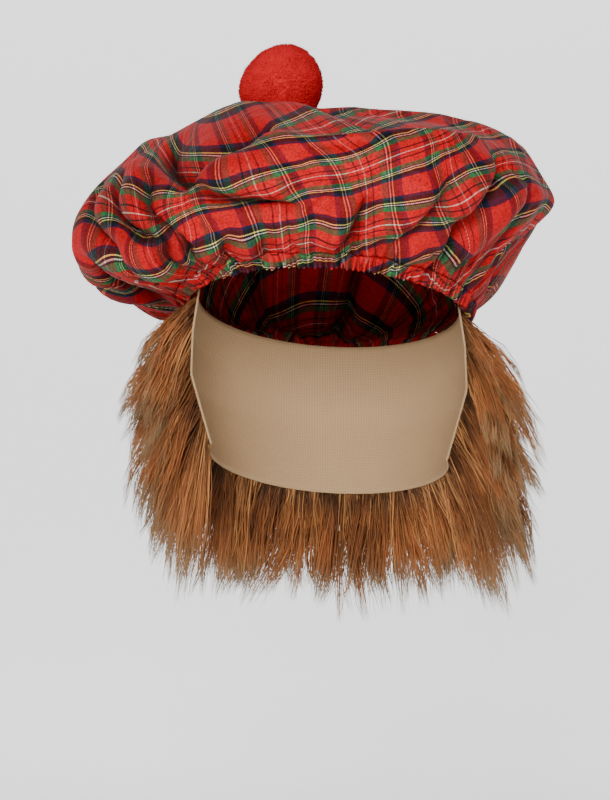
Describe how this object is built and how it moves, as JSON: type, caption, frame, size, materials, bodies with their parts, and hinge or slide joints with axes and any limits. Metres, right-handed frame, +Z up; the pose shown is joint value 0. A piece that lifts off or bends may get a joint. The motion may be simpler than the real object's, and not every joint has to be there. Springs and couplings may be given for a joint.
{
  "type": "tam o shanter",
  "caption": "Puffed tartan cap gathered on an elastic hem, with a woollen pompom on top and a fringe of long fur hair hung inside the hem.",
  "frame": {"origin": "middle of the head opening, on the plane of the hem's edge", "axes": "+Z up along the head's own vertical, -Y towards the front of the hat, +X to the wearer's left"},
  "size_m": [0.2876, 0.276, 0.351],
  "materials": {
    "tartan_cloth": "matt twill, red tartan",
    "gathered_cloth": "matt twill, gathered",
    "wool": "dense short wool",
    "fur_pile": "long soft pile"
  },
  "bodies": {
    "root": {"crown": "tartan_cloth", "gathered_hem": "gathered_cloth", "pompom": "wool", "hair": "fur_pile"}
  },
  "joints": []
}
